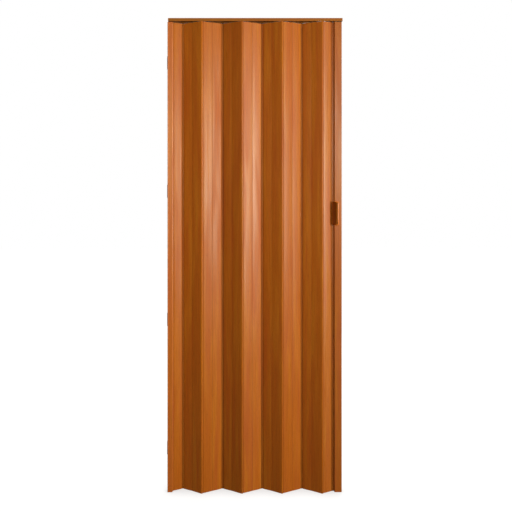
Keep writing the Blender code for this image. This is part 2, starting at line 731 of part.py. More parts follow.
def make_lead_hanger(lead):
    """The two-headed hanger that keeps the lead profile square to the track."""
    middle = LEAD_OFFSET + LEAD_WIDTH / 2
    wall_to_leg = LEAD_WALL + SEAT_GAP
    leg_y = LEAD_DEPTH / 2 - wall_to_leg - HANGER_LEG_THICKNESS / 2
    leg_offset = LEAD_WIDTH / 2 - wall_to_leg - HANGER_LEG_WIDTH / 2
    base = flange("lead_hanger", middle, LEAD_WIDTH - LEAD_WALL, LEAD_DEPTH - LEAD_WALL)
    steps = []
    for side_x in (-1, 1):
        head_x = middle + side_x * HANGER_PIN_SPACING / 2
        steps.append(("UNION", moved(mushroom("head"), Vector((head_x, 0, 0)))))
        for side_y in (-1, 1):
            post = leg(
                "leg", middle + side_x * leg_offset, side_y * leg_y, HANGER_LEG_WIDTH, HANGER_LEG_THICKNESS
            )
            steps.append(("UNION", post))
    mesh = combined("lead_hanger", base, steps)
    place("lead_hanger", mesh, lead, (0, 0, DOOR_LENGTH), (0, 0, 0), NYLON_LOOK)


def make_hinge_plugs(chain, lead):
    """Stop plugs in the beads' top ends: their rims lie over the sockets and carry each slat."""
    shank = BEAD_BORE - SEAT_GAP
    rim = SOCKET_OUTER - SEAT_GAP
    profile = [
        (0, -PLUG_SHANK_LENGTH),
        (shank - PLUG_TIP_TAPER, -PLUG_SHANK_LENGTH),
        (shank, -PLUG_SHANK_LENGTH + 2 * PLUG_TIP_TAPER),
        (shank, FLANGE_BOTTOM),
        (rim, FLANGE_BOTTOM),
        (rim, FLANGE_TOP),
        (0, FLANGE_TOP),
    ]
    mesh = turned("hinge_plug", profile, SMALL_TURNED_STEPS)
    for number, carrier in enumerate(chain + [lead], start=1):
        name = "hinge_plug_" + str(number)
        place(name, mesh, carrier, (0, 0, DOOR_LENGTH), (0, 0, 0), DARK_PLASTIC_LOOK)


def handle_body():
    """Wedge-shaped pull with a tall rounded rim on the closing side and sloping ends."""
    half = HANDLE_HEIGHT / 2
    flank_x = HANDLE_WIDTH - HANDLE_FLANK
    flank_rise = HANDLE_DEPTH - HANDLE_FLANK_FOOT
    section = [(0, SEAT_GAP), (HANDLE_WIDTH, SEAT_GAP)]
    end_view = [(-half, SEAT_GAP), (half, SEAT_GAP)]
    for step in range(HANDLE_STEPS + 1):
        angle = math.pi / 2 * step / HANDLE_STEPS
        height = HANDLE_FLANK_FOOT + flank_rise * math.sin(angle)
        section.append((flank_x + HANDLE_FLANK * math.cos(angle), height))
        end_view.append((half - HANDLE_END_SLOPE * (1 - math.cos(angle)), height))
    section.append((HANDLE_WIDTH - HANDLE_RIM, HANDLE_DEPTH))
    section.append((HANDLE_LIP_WALL / 2, HANDLE_LIP_HEIGHT))
    section.append((0, HANDLE_LIP_HEIGHT - HANDLE_LIP_WALL / 2))
    end_view += [(-across, height) for across, height in end_view[:1:-1]]
    away = Vector((0, -1, 0))
    across = Vector((1, 0, 0))
    up = Vector((0, 0, 1))
    body = extruded("handle", section, [], Vector((0, 0, -half)), across, away, up * HANDLE_HEIGHT)
    side = extruded("side", end_view, [], -across * HANDLE_FLANK, up, away, across * 2 * HANDLE_WIDTH)
    plan = rounded_rectangle(HANDLE_WIDTH / 2, half, HANDLE_CORNER, CORNER_STEPS)
    middle = across * (HANDLE_WIDTH / 2)
    front = extruded("plan", plan, [], middle, across, up, away * 2 * HANDLE_DEPTH)
    return body, [("INTERSECT", side), ("INTERSECT", front)]


def handle_pocket():
    """The finger pocket, undercut behind the tall rim and rounded at its two ends."""
    half = HANDLE_HEIGHT / 2 - HANDLE_END_WALL
    mouth = HANDLE_DEPTH + HANDLE_FLOOR
    wall_x = HANDLE_WIDTH - HANDLE_RIM
    hook_radius = 2 * POCKET_ROUND
    hook_centre = (wall_x + HANDLE_UNDERCUT - hook_radius, HANDLE_FLOOR + hook_radius)
    lip_centre = (HANDLE_LIP_WALL + POCKET_ROUND, HANDLE_FLOOR + POCKET_ROUND)
    section = [(HANDLE_LIP_WALL, mouth)]
    section += arc(lip_centre, POCKET_ROUND, math.pi, 3 * math.pi / 2, CORNER_STEPS)
    section += arc(hook_centre, hook_radius, -math.pi / 2, 0, HANDLE_STEPS)
    section += [(wall_x, HANDLE_DEPTH), (wall_x, mouth)]
    return extruded(
        "pocket", section, [], Vector((0, 0, -half)), Vector((1, 0, 0)), Vector((0, -1, 0)),
        Vector((0, 0, 2 * half)),
    )


def handle_mesh(name, open_through):
    """A handle half with two bosses. Its screw holes are blind or open right through."""
    base, steps = handle_body()
    steps.append(("DIFFERENCE", handle_pocket()))
    boss_x = SCREW_X - HANDLE_LEFT
    inside_plate = -(SEAT_GAP + HANDLE_FLOOR) / 2
    hole_start = -HANDLE_DEPTH if open_through else 0.0
    for side in (-1, 1):
        height = side * BOSS_HALF_SPACING
        boss = cross_rod("boss", BOSS_RADIUS, inside_plate, BOSS_LENGTH, boss_x, height, SMALL_TURNED_STEPS)
        steps.append(("UNION", boss))
    for side in (-1, 1):
        height = side * BOSS_HALF_SPACING
        hole = cross_rod(
            "hole", SCREW_RADIUS + SEAT_GAP, hole_start, 2 * BOSS_LENGTH, boss_x, height, SMALL_TURNED_STEPS
        )
        steps.append(("DIFFERENCE", hole))
    return combined(name, base, steps)


def make_handles(lead):
    """The same moulded pull on both faces, the rear one turned end over end."""
    face = LEAD_DEPTH / 2
    front = handle_mesh("handle_front", False)
    rear = handle_mesh("handle_rear", True)
    place("handle_front", front, lead, (HANDLE_LEFT, -face, HANDLE_CENTRE_HEIGHT), (0, 0, 0), FOIL_LOOK)
    place("handle_rear", rear, lead, (HANDLE_LEFT, face, HANDLE_CENTRE_HEIGHT), (math.pi, 0, 0), FOIL_LOOK)


def make_handle_screws(lead):
    """Two long screws from the rear pocket through the lead profile into the front bosses."""
    face = LEAD_DEPTH / 2
    tip = -face + SCREW_TIP_GAP
    seat = face + HANDLE_FLOOR + SEAT_GAP
    top = seat + SCREW_HEAD_HEIGHT
    profile = [
        (0, tip),
        (SCREW_RADIUS / 2, tip),
        (SCREW_RADIUS, tip + SCREW_RADIUS),
        (SCREW_RADIUS, seat),
        (SCREW_HEAD_RADIUS, seat),
        (SCREW_HEAD_RADIUS, seat + SCREW_HEAD_HEIGHT / 2),
        (SCREW_HEAD_CROWN, top),
        (0, top),
    ]
    screw = turned("handle_screw", profile, SMALL_TURNED_STEPS)
    blade_half = SCREW_HEAD_RADIUS * 2
    outline = [
        (-blade_half, top - SCREW_SLOT),
        (blade_half, top - SCREW_SLOT),
        (blade_half, top + SCREW_SLOT),
        (-blade_half, top + SCREW_SLOT),
    ]
    blade = extruded(
        "blade", outline, [], Vector((0, -SCREW_SLOT / 2, 0)), Vector((1, 0, 0)), Vector((0, 0, 1)),
        Vector((0, SCREW_SLOT, 0)),
    )
    mesh = combined("handle_screw", screw, [("DIFFERENCE", blade)])
    mesh = moved(mesh, Vector((0, 0, 0)), Matrix.Rotation(-math.pi / 2, 4, "X"))
    for number, height in enumerate(screw_heights(), start=1):
        name = "handle_screw_" + str(number)
        place(name, mesh, lead, (SCREW_X, 0, height), (0, 0, 0), STEEL_LOOK)


def build_door():
    clear_scene()
    frame = bpy.data.objects.new("door_frame", None)
    bpy.context.scene.collection.objects.link(frame)
    make_track(frame)
    profile = make_wall_profile(frame)
    make_wall_clips(profile)
    chain = make_slats(frame)
    lead = make_lead_profile(chain[-1])
    make_closing_strip(lead)
    make_lead_hanger(lead)
    make_gliders(chain)
    make_hinge_plugs(chain, lead)
    make_handles(lead)
    make_handle_screws(lead)


build_door()
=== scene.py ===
import json
import math

import bmesh
import bpy
from mathutils import Matrix, Vector


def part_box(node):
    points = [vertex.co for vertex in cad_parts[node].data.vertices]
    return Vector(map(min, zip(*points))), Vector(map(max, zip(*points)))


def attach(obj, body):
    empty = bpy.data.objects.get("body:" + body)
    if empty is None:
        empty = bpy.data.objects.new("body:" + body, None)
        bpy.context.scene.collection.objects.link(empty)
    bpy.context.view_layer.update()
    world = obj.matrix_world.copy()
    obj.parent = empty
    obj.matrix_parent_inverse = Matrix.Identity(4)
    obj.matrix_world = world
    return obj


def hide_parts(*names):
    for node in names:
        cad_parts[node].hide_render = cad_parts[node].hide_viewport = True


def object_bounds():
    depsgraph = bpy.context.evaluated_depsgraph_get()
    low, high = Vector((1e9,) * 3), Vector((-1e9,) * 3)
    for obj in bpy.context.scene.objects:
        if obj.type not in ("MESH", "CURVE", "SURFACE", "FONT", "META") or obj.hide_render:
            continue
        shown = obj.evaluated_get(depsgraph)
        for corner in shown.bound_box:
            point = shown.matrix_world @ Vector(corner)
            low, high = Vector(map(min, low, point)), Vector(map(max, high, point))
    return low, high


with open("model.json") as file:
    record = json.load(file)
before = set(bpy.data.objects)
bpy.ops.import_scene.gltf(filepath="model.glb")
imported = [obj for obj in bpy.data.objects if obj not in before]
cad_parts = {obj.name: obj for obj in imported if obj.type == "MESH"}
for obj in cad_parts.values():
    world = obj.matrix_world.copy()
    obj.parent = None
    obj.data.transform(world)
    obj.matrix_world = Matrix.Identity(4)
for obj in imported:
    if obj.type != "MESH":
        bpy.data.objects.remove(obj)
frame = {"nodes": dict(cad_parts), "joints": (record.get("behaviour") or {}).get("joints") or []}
cad_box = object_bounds()
hinge_places = {joint["name"]: Vector(joint["pos_m"]) for joint in frame["joints"]}

# Camera: level, in front of the door's middle and about a third of the way down it. The lens is
# shifted down, so that the door's uprights stay parallel as in a catalogue picture.
CAMERA_PLACE = (0.001, -2.70, -0.682)
LENS = 44.08
SENSOR_WIDTH = 36.0
SHIFT = (0.001, -0.1530)
FARTHEST_SEEN = 50.0

camera_data = bpy.data.cameras.new("camera")
camera_data.lens = LENS
camera_data.sensor_width = SENSOR_WIDTH
camera_data.shift_x, camera_data.shift_y = SHIFT
camera_data.clip_end = FARTHEST_SEEN
camera = bpy.data.objects.new("camera", camera_data)
camera.location = CAMERA_PLACE
camera.rotation_euler = (math.pi / 2, 0.0, 0.0)
bpy.context.scene.collection.objects.link(camera)
bpy.context.scene.camera = camera
bpy.context.scene.view_settings.view_transform = "Standard"

# Studio: a key light a little right of the camera, a tall strip farther right whose sheen runs
# down the slats that face it, further lights at the left, behind and above, and dim daylight.
WARM = (1.0, 0.96, 0.86)
WARMER = (1.0, 0.97, 0.80)
WHITE = (1.0, 1.0, 1.0, 1.0)
DAYLIGHT_LEVEL = 0.07
BACKDROP_LEVEL = 1.0
BACKDROP_EDGES = (0.70, 0.82)


def soft_box(name, azimuth, distance, height, size, power, colour=WARM):
    """An area lamp that faces the door's middle line, at an azimuth right of the camera."""
    lamp = bpy.data.lights.new(name, "AREA")
    lamp.shape = "RECTANGLE"
    lamp.size, lamp.size_y = size
    lamp.energy = power
    lamp.color = colour
    holder = bpy.data.objects.new(name, lamp)
    angle = math.radians(azimuth)
    holder.location = (distance * math.sin(angle), -distance * math.cos(angle), height)
    holder.rotation_euler = (math.pi / 2, 0.0, angle)
    bpy.context.scene.collection.objects.link(holder)
    return holder


def add_math(tree, operation, first, second):
    """Joins two sockets or numbers."""
    node = tree.nodes.new("ShaderNodeMath")
    node.operation = operation
    for index, value in enumerate((first, second)):
        if isinstance(value, bpy.types.NodeSocket):
            tree.links.new(value, node.inputs[index])
        else:
            node.inputs[index].default_value = value
    return node.outputs[0]


def add_range(tree, value, low, high, to_low, to_high, blend="LINEAR"):
    """Carries a socket's values from one range over to another, and stops at its ends."""
    node = tree.nodes.new("ShaderNodeMapRange")
    node.interpolation_type = blend
    node.inputs["From Min"].default_value = low
    node.inputs["From Max"].default_value = high
    node.inputs["To Min"].default_value = to_low
    node.inputs["To Max"].default_value = to_high
    tree.links.new(value, node.inputs["Value"])
    return node.outputs["Result"]


def along_axis(tree, vector, axis):
    """One coordinate of a vector socket."""
    apart = tree.nodes.new("ShaderNodeSeparateXYZ")
    tree.links.new(vector, apart.inputs[0])
    return apart.outputs[axis]


def seen_or_behind(tree, behind):
    """1 for rays that see the background straight, through glass or mirrored behind the door."""
    rays = tree.nodes.new("ShaderNodeLightPath").outputs
    seen = add_math(tree, "MAXIMUM", rays["Is Camera Ray"], rays["Is Transmission Ray"])
    mirrored = add_math(tree, "MULTIPLY", rays["Is Glossy Ray"], behind)
    return add_math(tree, "MAXIMUM", seen, mirrored)


soft_box("key_light", 17.0, 2.1, -0.38, (0.6, 0.8), 21.5)
soft_box("strip_light", 47.5, 5.0, -0.66, (0.4, 2.2), 172.0, WARMER)
soft_box("fill_light", -25.0, 2.0, -0.42, (1.0, 1.2), 5.6)
soft_box("back_light", 160.0, 3.0, -0.60, (1.0, 1.8), 52.0)
overhead_light = soft_box("overhead_light", 180.0, 0.3, 1.5, (0.9, 0.9), 11.0)
overhead_light.rotation_euler = (0.0, 0.0, 0.0)

world = bpy.data.worlds.new("studio")
bpy.context.scene.world = world
world.use_nodes = True
tree = world.node_tree
direction = tree.nodes.new("ShaderNodeTexCoord")
forward = along_axis(tree, direction.outputs["Generated"], "Y")
shown = seen_or_behind(tree, add_range(tree, forward, *BACKDROP_EDGES, 0.0, 1.0))
level = add_range(tree, shown, 0.0, 1.0, DAYLIGHT_LEVEL, BACKDROP_LEVEL)
tree.nodes["Background"].inputs["Color"].default_value = WHITE
tree.links.new(level, tree.nodes["Background"].inputs["Strength"])

# Floor: a wide pale sheet just below the door's lower ends. It takes the door's soft shadow,
# darkens right under the door and runs to white everywhere else.
FLOOR_GAP = 0.0004
FLOOR_HALF = 9.0
FLOOR_COLOUR = (0.20, 0.20, 0.20, 1.0)
FLOOR_ROUGHNESS = 0.9
FLOOR_SPECULAR = 0.1
GLOW_NEAR_DOOR = 0.93
GLOW_REACH = (0.25, 1.0)
GLOW_WIDTH_SHARE = 0.7
CONTACT_SAMPLES = 16
CONTACT_DISTANCE = 0.08
CONTACT_OPEN = (0.4, 0.95)
CONTACT_GLOW = 0.74

bm = bmesh.new()
bmesh.ops.create_grid(bm, x_segments=1, y_segments=1, size=FLOOR_HALF)
bmesh.ops.translate(bm, verts=bm.verts, vec=(0.0, 0.0, cad_box[0][2] - FLOOR_GAP))
mesh = bpy.data.meshes.new("floor")
bm.to_mesh(mesh)
bm.free()
floor = bpy.data.objects.new("floor", mesh)
bpy.context.scene.collection.objects.link(floor)
material = bpy.data.materials.new("pale_floor")
material.use_nodes = True
tree = material.node_tree
shader = tree.nodes["Principled BSDF"]
shader.inputs["Base Color"].default_value = FLOOR_COLOUR
shader.inputs["Roughness"].default_value = FLOOR_ROUGHNESS
shader.inputs["Specular IOR Level"].default_value = FLOOR_SPECULAR
shader.inputs["Emission Color"].default_value = WHITE
place = tree.nodes.new("ShaderNodeTexCoord").outputs["Object"]
flat = tree.nodes.new("ShaderNodeMapping")
flat.inputs["Scale"].default_value = (GLOW_WIDTH_SHARE, 1.0, 0.0)
tree.links.new(place, flat.inputs["Vector"])
reach = tree.nodes.new("ShaderNodeVectorMath")
reach.operation = "LENGTH"
tree.links.new(flat.outputs["Vector"], reach.inputs[0])
glow = add_range(
    tree, reach.outputs["Value"], *GLOW_REACH, GLOW_NEAR_DOOR, BACKDROP_LEVEL, "SMOOTHSTEP"
)

# The contact shade: how much of the floor's view upward the door's lower ends take away
covered = tree.nodes.new("ShaderNodeAmbientOcclusion")
covered.samples = CONTACT_SAMPLES
covered.inputs["Distance"].default_value = CONTACT_DISTANCE
contact = add_range(tree, covered.outputs["AO"], *CONTACT_OPEN, CONTACT_GLOW, 1.0)
behind = add_range(tree, along_axis(tree, place, "Y"), 0.0, 1.0, 0.0, 1.0)
lit = add_math(tree, "MULTIPLY", seen_or_behind(tree, behind), glow)
tree.links.new(add_math(tree, "MULTIPLY", lit, contact), shader.inputs["Emission Strength"])
mesh.materials.append(material)

# Top track: the extruded plastic rail that the whole door hangs from, with the same wood-grain
# foil as the slats and the grain along it. It is cut square at both ends and screwed to the
# lintel.
FOIL_BROWN = (0.425, 0.108, 0.0080, 1.0)
FOIL_GOLD = (0.480, 0.146, 0.0110, 1.0)
FOIL_RED = (0.400, 0.083, 0.0070, 1.0)
FOIL_PORE = (0.200, 0.042, 0.0040, 1.0)
FOIL_ROUGHNESS = 0.34
FOIL_SPECULAR = 0.20
FOIL_RELIEF = 0.00004
BUMP_STRENGTH = 0.5
GOLD_AT_MOST = 0.8
RED_AT_MOST = 0.75
PORE_AT_MOST = 0.55
PORE_DEPTH = 0.6
STREAK_TONES = (0.88, 1.12)
STREAK_DULLS = (-0.03, 0.04)
BAND_DULLS = (-0.05, 0.08)
# Painted shade: how much the marked grooves, bead and folds are darkened and dulled
PAINTED_SHADE_DARKENS = 0.24
PAINTED_SHADE_DULLS = 0.6
# Painted highlight: how much lighter the rubbed knuckles are made
PAINTED_KNUCKLE_LIGHT = 0.16
RUBBING_POLISHES = 0.05


def node_group(name, inputs, outputs):
    """An empty shader group with its named sockets, and its input and output nodes."""
    group = bpy.data.node_groups.new(name, "ShaderNodeTree")
    for label, kind, default in inputs:
        socket = group.interface.new_socket(label, in_out="INPUT", socket_type=kind)
        socket.default_value = default
    for label, kind in outputs:
        group.interface.new_socket(label, in_out="OUTPUT", socket_type=kind)
    return group, group.nodes.new("NodeGroupInput"), group.nodes.new("NodeGroupOutput")


def add_noise(group, place, stretch, scale, detail, distortion=0.0, offset=(0.0, 0.0, 0.0)):
    """Noise that changes more slowly along the third axis of a place socket, by the stretch."""
    mapping = group.nodes.new("ShaderNodeMapping")
    mapping.inputs["Location"].default_value = offset
    mapping.inputs["Scale"].default_value = (1.0, 1.0, stretch)
    group.links.new(place, mapping.inputs["Vector"])
    noise = group.nodes.new("ShaderNodeTexNoise")
    noise.inputs["Scale"].default_value = scale
    noise.inputs["Detail"].default_value = detail
    noise.inputs["Distortion"].default_value = distortion
    group.links.new(mapping.outputs["Vector"], noise.inputs["Vector"])
    return noise.outputs["Fac"]


def add_mix(group, share, first, second):
    """Mixes two colour sockets by a share that varies over the surface."""
    node = group.nodes.new("ShaderNodeMix")
    node.data_type = "RGBA"
    group.links.new(share, node.inputs["Factor"])
    for label, value in (("A", first), ("B", second)):
        socket = [s for s in node.inputs if s.name == label and s.type == "RGBA"][0]
        group.links.new(value, socket)
    return [s for s in node.outputs if s.type == "RGBA"][0]


def add_tone(group, colour, tone):
    """Lightens or darkens a colour socket."""
    node = group.nodes.new("ShaderNodeVectorMath")
    node.operation = "SCALE"
    group.links.new(colour, node.inputs[0])
    group.links.new(tone, node.inputs["Scale"])
    return node.outputs["Vector"]


# The printed foil: broad golden and reddish bands, fine streaks and short dark pores, all along
# the strip. Noise lies mostly between 0.25 and 0.75, so each range below is cut from that span.
foil_grain, given, made = node_group(
    "foil_grain",
    [
        ("Place", "NodeSocketVector", (0.0, 0.0, 0.0)),
        ("Brown", "NodeSocketColor", FOIL_BROWN),
        ("Gold", "NodeSocketColor", FOIL_GOLD),
        ("Red", "NodeSocketColor", FOIL_RED),
        ("Pore", "NodeSocketColor", FOIL_PORE),
        ("Tone", "NodeSocketFloat", 1.0),
        ("Roughness", "NodeSocketFloat", FOIL_ROUGHNESS),
        ("Painted_shade", "NodeSocketFloat", 0.0),
        ("Rubbed_and_lit", "NodeSocketFloat", 0.0),
    ],
    [
        ("Colour", "NodeSocketColor"),
        ("Roughness", "NodeSocketFloat"),
        ("Height", "NodeSocketFloat"),
    ],
)
place = given.outputs["Place"]
gold_band = add_noise(foil_grain, place, stretch=0.07, scale=34.0, detail=2.0, distortion=0.4)
red_band = add_noise(
    foil_grain, place, stretch=0.05, scale=45.0, detail=2.0, distortion=0.4, offset=(3.1, 7.7, 1.9)
)
streak = add_noise(foil_grain, place, stretch=0.022, scale=420.0, detail=3.0, distortion=0.2)
smear = add_noise(foil_grain, place, stretch=0.25, scale=26.0, detail=3.0)
pore = add_noise(foil_grain, place, stretch=0.035, scale=1500.0, detail=1.0)

# Painted shade darkens the grooves, the bead and the inner side of each fold; the knuckles carry
# a painted highlight in smears, where they are also rubbed
shade_darkening = add_math(foil_grain, "MULTIPLY", given.outputs["Painted_shade"], PAINTED_SHADE_DARKENS)
smudge = add_range(foil_grain, smear, 0.35, 0.65, 0.0, 1.0)
rubbed_and_lit = add_math(foil_grain, "MULTIPLY", given.outputs["Rubbed_and_lit"], smudge)

# Its colour
gold_share = add_range(foil_grain, gold_band, 0.42, 0.68, 0.0, GOLD_AT_MOST)
colour = add_mix(foil_grain, gold_share, given.outputs["Brown"], given.outputs["Gold"])
red_share = add_range(foil_grain, red_band, 0.48, 0.72, 0.0, RED_AT_MOST)
colour = add_mix(foil_grain, red_share, colour, given.outputs["Red"])
streak_tone = add_range(foil_grain, streak, 0.25, 0.75, *STREAK_TONES)
tone = add_math(foil_grain, "MULTIPLY", streak_tone, given.outputs["Tone"])
lighter = add_math(foil_grain, "MULTIPLY", rubbed_and_lit, PAINTED_KNUCKLE_LIGHT)
lighter = add_math(foil_grain, "ADD", lighter, 1.0)
painted_light_tone = add_math(foil_grain, "SUBTRACT", lighter, shade_darkening)
colour = add_tone(foil_grain, colour, add_math(foil_grain, "MULTIPLY", tone, painted_light_tone))
pore_share = add_range(foil_grain, pore, 0.64, 0.72, 0.0, PORE_AT_MOST)
colour = add_mix(foil_grain, pore_share, colour, given.outputs["Pore"])
foil_grain.links.new(colour, made.inputs["Colour"])

# Its gloss, which changes with the streaks, the painted shade, the rubbed knuckles and the reddish
# bands
roughness = given.outputs["Roughness"]
for operation, change in (
    ("ADD", add_range(foil_grain, streak, 0.3, 0.7, *STREAK_DULLS)),
    ("ADD", add_math(foil_grain, "MULTIPLY", shade_darkening, PAINTED_SHADE_DULLS)),
    ("SUBTRACT", add_math(foil_grain, "MULTIPLY", rubbed_and_lit, RUBBING_POLISHES)),
    ("ADD", add_range(foil_grain, red_band, 0.40, 0.66, *BAND_DULLS)),
):
    roughness = add_math(foil_grain, operation, roughness, change)
foil_grain.links.new(roughness, made.inputs["Roughness"])

# Its relief: raised streaks and sunk pores
sunk = add_math(foil_grain, "MULTIPLY", pore_share, -PORE_DEPTH)
foil_grain.links.new(add_math(foil_grain, "ADD", streak, sunk), made.inputs["Height"])


def grain_material(name, group, shift, turn, values, specular, relief):
    """A material whose colour, roughness and relief come from one of the surface groups."""
    material = bpy.data.materials.new(name)
    material.use_nodes = True
    nodes, links = material.node_tree.nodes, material.node_tree.links
    shader = nodes["Principled BSDF"]
    coordinates = nodes.new("ShaderNodeTexCoord")
    mapping = nodes.new("ShaderNodeMapping")
    mapping.inputs["Location"].default_value = shift
    mapping.inputs["Rotation"].default_value = turn
    links.new(coordinates.outputs["Object"], mapping.inputs["Vector"])
    grain = nodes.new("ShaderNodeGroup")
    grain.node_tree = group
    links.new(mapping.outputs["Vector"], grain.inputs["Place"])
    for label, value in values.items():
        grain.inputs[label].default_value = value
    links.new(grain.outputs["Colour"], shader.inputs["Base Color"])
    links.new(grain.outputs["Roughness"], shader.inputs["Roughness"])
    shader.inputs["Specular IOR Level"].default_value = specular
    bump = nodes.new("ShaderNodeBump")
    bump.inputs["Strength"].default_value = BUMP_STRENGTH
    bump.inputs["Distance"].default_value = relief
    links.new(grain.outputs["Height"], bump.inputs["Height"])
    links.new(bump.outputs["Normal"], shader.inputs["Normal"])
    return material


def foil_material(name, shift, tone=1.0, roughness=FOIL_ROUGHNESS, specular=FOIL_SPECULAR):
    """Wood-grain foil on rigid vinyl. The shift moves the print, so no two strips match."""
    values = {"Tone": tone, "Roughness": roughness}
    return grain_material(name, foil_grain, shift, (0.0, 0.0, 0.0), values, specular, FOIL_RELIEF)


ALONG_X = (0.0, math.pi / 2, 0.0)
TRACK_TONE = 0.95
TRACK_SPECULAR = 0.12
# Painted shade on the rail's faces that look down
UNDERSIDE_PAINTED_SHADE = 0.25
LOOKS_DOWN = (-0.9, -0.5)
TRACK_PRINT = {
    "Brown": (0.325, 0.108, 0.0135, 1.0),
    "Gold": (0.365, 0.142, 0.0180, 1.0),
    "Red": (0.305, 0.085, 0.0120, 1.0),
    "Roughness": 0.5,
}
track_foil = grain_material(
    "track_foil", foil_grain, (0.3, 0.1, 0.2), ALONG_X, TRACK_PRINT, TRACK_SPECULAR, FOIL_RELIEF
)
frame["nodes"]["top_track"].material_slots[0].material = track_foil

# The faces that look down are darkened: painted shade under the rail
tree = track_foil.node_tree
facing = tree.nodes.new("ShaderNodeNewGeometry").outputs["Normal"]
upward = along_axis(tree, facing, "Z")
underside_shade_tone = add_range(tree, upward, *LOOKS_DOWN, UNDERSIDE_PAINTED_SHADE, TRACK_TONE)
tree.links.new(underside_shade_tone, tree.nodes["Group"].inputs["Tone"])

# Wall clips: four barbed clips moulded in dark brown plastic. Each is screwed to the door post
# with two screws, and the wall profile snaps over all four.
CLIP_BROWN = (0.022, 0.007, 0.003, 1.0)
MOULDED_RELIEF = 0.00006
FLOW_DULLS = (-0.06, 0.08)

# Moulded plastic: a slow change of tone, faint flow marks and a finely stippled surface
moulded_skin, given, made = node_group(
    "moulded_skin",
    [
        ("Place", "NodeSocketVector", (0.0, 0.0, 0.0)),
        ("Colour", "NodeSocketColor", CLIP_BROWN),
        ("Tone Change", "NodeSocketFloat", 0.12),
        ("Roughness", "NodeSocketFloat", 0.5),
    ],
    [
        ("Colour", "NodeSocketColor"),
        ("Roughness", "NodeSocketFloat"),
        ("Height", "NodeSocketFloat"),
    ],
)
place = given.outputs["Place"]
cloud = add_noise(moulded_skin, place, stretch=0.6, scale=60.0, detail=3.0)
flow = add_noise(moulded_skin, place, stretch=0.3, scale=180.0, detail=4.0, distortion=0.6)
stipple = add_noise(moulded_skin, place, stretch=1.0, scale=2600.0, detail=1.0)
change = add_range(moulded_skin, cloud, 0.3, 0.7, -1.0, 1.0)
change = add_math(moulded_skin, "MULTIPLY", change, given.outputs["Tone Change"])
toned = add_tone(moulded_skin, given.outputs["Colour"], add_math(moulded_skin, "ADD", change, 1.0))
moulded_skin.links.new(toned, made.inputs["Colour"])
flow_dull = add_range(moulded_skin, flow, 0.3, 0.7, *FLOW_DULLS)
roughness = add_math(moulded_skin, "ADD", given.outputs["Roughness"], flow_dull)
moulded_skin.links.new(roughness, made.inputs["Roughness"])
moulded_skin.links.new(stipple, made.inputs["Height"])


def moulded_material(name, shift, colour, roughness, change=0.12, specular=0.4):
    """Moulded plastic or rubber of one colour, whose tone drifts by the change."""
    values = {"Colour": colour, "Roughness": roughness, "Tone Change": change}
    return grain_material(name, moulded_skin, shift, (0.0, 0.0, 0.0), values, specular, MOULDED_RELIEF)


clip_plastic = moulded_material(
    "clip_plastic", (0.4, 1.1, 0.3), CLIP_BROWN, roughness=0.6, change=0.12, specular=0.1
)
for number in range(1, 5):
    frame["nodes"]["wall_clip_" + str(number)].material_slots[0].material = clip_plastic

# Wall profile: a channel extruded in rigid vinyl and foiled, which snaps over the clips on the
# wall. Its round socket holds the first half slat, and each flange has a rounded rim at the wall.
# Its foil is lightened: a painted sheen
WALL_PAINTED_SHEEN_TONE = 1.25
frame["nodes"]["wall_profile"].material_slots[0].material = foil_material(
    "wall_foil", (1.3, 0.4, 0.7), WALL_PAINTED_SHEEN_TONE, roughness=0.38, specular=0.7
)

# Slats: seven full slats and a half slat at either end, extruded in rigid vinyl and wrapped in
# foil. Each has a bead along one edge and a hooked socket along the other, with two hollow lobes
# between them, or one in a half slat. Sizes are in millimetres and angles in degrees.
M_TO_MM = 1000.0
MM_TO_M = 0.001
SLAT_PITCH = 96.0
BEAD_RADIUS = 3.4
BEAD_BORE = 2.3
SOCKET_INNER = 3.75
SOCKET_OUTER = 4.79
NECK_HALF = 0.75
LOBE_INSET = 5.4
LOBE_EDGE_GAP = 0.6
SLAT_EDGE_HALF = 1.3
SHOULDER_WIDTH = 2.0
GROOVE_HALF = 2.0
CROWN_HALF = 2.5
KNUCKLE_CROWN = 0.3
SLAT_WALL = 1.1
CHAMBER_INSET = 2.4
HALF_RIB = 0.55
FOLD_AT_REST = 26.6
FOLD_LIMIT = 74.0
NECK_SIDE_PLAY = 2.5
CROWN_STEPS = 16
HOOK_STEPS = 16
LIP_STEPS = 6
SOCKET_STEPS = 28
BEAD_STEPS = 32
BORE_STEPS = 20
# How strongly the grooves, the bead and the inner sides of the folds carry painted shade
GROOVE_PAINTED_SHADE = 1.0
FOLD_PAINTED_SHADE = 1.3
GROOVE_REACH = 0.1
ROUND_REACH = 0.05
INNER_SIDE = 0.5
CLOSED_WITHIN = 0.001
SHARP_ANGLE = 30.0


def first_corner(bm, x, y):
    """Starts an outline."""
    return bmesh.ops.create_vert(bm, co=(x, y, 0.0))["vert"][0]


def line_to(bm, start, x, y):
    """Draws a straight stroke of an outline from its last corner."""
    end = bmesh.ops.extrude_vert_indiv(bm, verts=[start])["verts"][0]
    bmesh.ops.translate(bm, verts=[end], vec=Vector((x, y, 0.0)) - end.co)
    return end


def bend_to(bm, start, centre, degrees, steps):
    """Draws an arc of an outline about a centre, turning left for a positive angle."""
    swept = bmesh.ops.spin(
        bm, geom=[start], cent=(*centre, 0.0), axis=(0.0, 0.0, 1.0), dvec=(0.0, 0.0, 0.0),
        angle=math.radians(degrees), steps=steps, use_merge=False, use_duplicate=False,
    )
    return [item for item in swept["geom_last"] if isinstance(item, bmesh.types.BMVert)][0]


def close_outline(bm, start, end):
    """Joins an outline's last corner to its first, or merges them where they meet."""
    if (start.co - end.co).length < CLOSED_WITHIN:
        bmesh.ops.pointmerge(bm, verts=[start, end], merge_co=start.co)
    else:
        bmesh.ops.contextual_create(bm, geom=[start, end])


def closed_outline(bm, points):
    """Draws a closed outline of straight strokes."""
    corners = [first_corner(bm, *points[0])]
    for x, y in points[1:]:
        corners.append(line_to(bm, corners[-1], x, y))
    close_outline(bm, corners[0], corners[-1])


